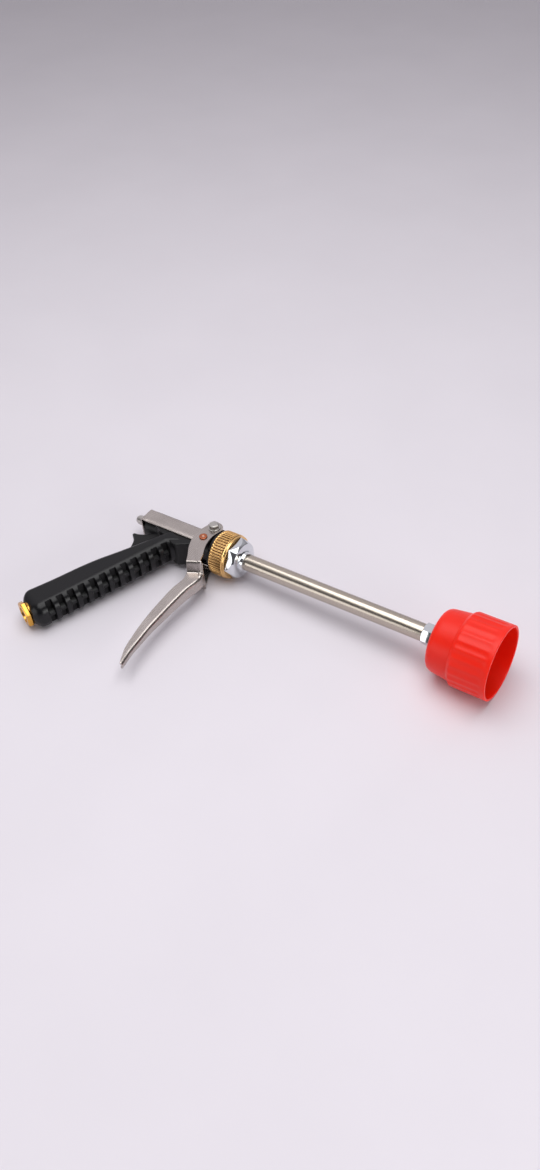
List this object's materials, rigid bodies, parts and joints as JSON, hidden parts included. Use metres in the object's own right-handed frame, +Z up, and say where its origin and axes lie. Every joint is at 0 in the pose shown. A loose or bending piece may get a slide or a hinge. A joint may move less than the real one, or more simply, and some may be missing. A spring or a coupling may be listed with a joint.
{
  "type": "watering wand",
  "caption": "Hand-held watering wand: trigger valve with ribbed grip, brass union ring, straight lance tube and a wide turnable spray cup.",
  "frame": {"origin": "centre of the spray cup's mouth, on the lance axis", "axes": "+X along the lance axis, the way the spray leaves; +Y away from the grip, in the plane of the grip and lance; +Z up from the table the wand lies on"},
  "size_m": [0.3226, 0.1564, 0.054],
  "materials": {
    "red_cup": "moulded red plastic, satin gloss",
    "black_housing": "black glass-filled nylon, satin",
    "black_grip": "black moulded plastic, satin",
    "stainless": "pressed stainless sheet, brushed",
    "tube_stainless": "drawn stainless tube, brushed",
    "bright_chrome": "chrome plate, polished",
    "zinc": "zinc-plated steel fastener",
    "brass": "turned brass, lightly polished",
    "copper_rivet": "copper-coloured rivet",
    "seal_rubber": "black sealing rubber",
    "spring_steel": "drawn spring wire"
  },
  "bodies": {
    "housing": {"valve_housing": "black_housing", "outlet_spigot": "brass", "valve_seat": "brass", "rear_cap": "black_housing", "spindle_packing": "seal_rubber", "return_spring": "spring_steel", "grip_sleeve": "black_grip", "supply_tube": "brass", "hose_inlet": "brass", "inlet_washer": "seal_rubber", "pivot_bolt": "zinc", "pivot_washers": "zinc", "pivot_nut": "zinc", "lance_gasket": "seal_rubber", "lance_adapter": "bright_chrome", "lance_tube": "tube_stainless", "tube_ferrule": "bright_chrome", "swirl_core": "brass"},
    "union_ring": {"union_ring": "brass"},
    "trigger": {"trigger": "stainless", "drawbar_rivets": "copper_rivet"},
    "drawbar": {"drawbar": "stainless"},
    "spindle": {"valve_spindle": "zinc", "valve_seal": "seal_rubber", "spindle_washer": "zinc", "dome_nut": "zinc"},
    "cup_seal": {"cup_seal": "seal_rubber", "jet_insert": "brass"},
    "spray_cup": {"spray_cup": "red_cup"}
  },
  "joints": [
    {"name": "trigger_pivot", "type": "hinge", "parent": "housing", "child": "trigger", "pos_m": [-0.238, 0.0074, 0], "axis": [0, 0, -1], "range_deg": [0, 18], "stiffness_Nm_per_rad": 0.3, "springref_deg": -20.05},
    {"name": "drawbar_pivot", "type": "hinge", "parent": "trigger", "child": "drawbar", "pos_m": [-0.2393, -0.005, 0], "axis": [0, 0, 1], "range_deg": [0, 19.1]},
    {"name": "spindle_slide", "type": "slide", "parent": "housing", "child": "spindle", "axis": [-1, 0, 0], "range_m": [0, 0.0038], "deforming": ["return_spring"]},
    {"name": "union_ring_turn", "type": "hinge", "parent": "housing", "child": "union_ring", "pos_m": [-0.221, 0, 0], "axis": [1, 0, 0], "continuous": true},
    {"name": "cup_advance", "type": "slide", "parent": "housing", "child": "cup_seal", "axis": [1, 0, 0], "range_m": [0, 0.00301]},
    {"name": "cup_turn", "type": "hinge", "parent": "cup_seal", "child": "spray_cup", "pos_m": [-0.03, 0, 0], "axis": [1, 0, 0], "range_deg": [0, 720]}
  ],
  "couplings": [
    {"joint": "drawbar_pivot", "follows": "trigger_pivot", "ratio": 1.0574},
    {"joint": "spindle_slide", "follows": "trigger_pivot", "m_per_rad": 0.01197},
    {"joint": "cup_advance", "follows": "cup_turn", "m_per_rad": 0.00023873}
  ]
}
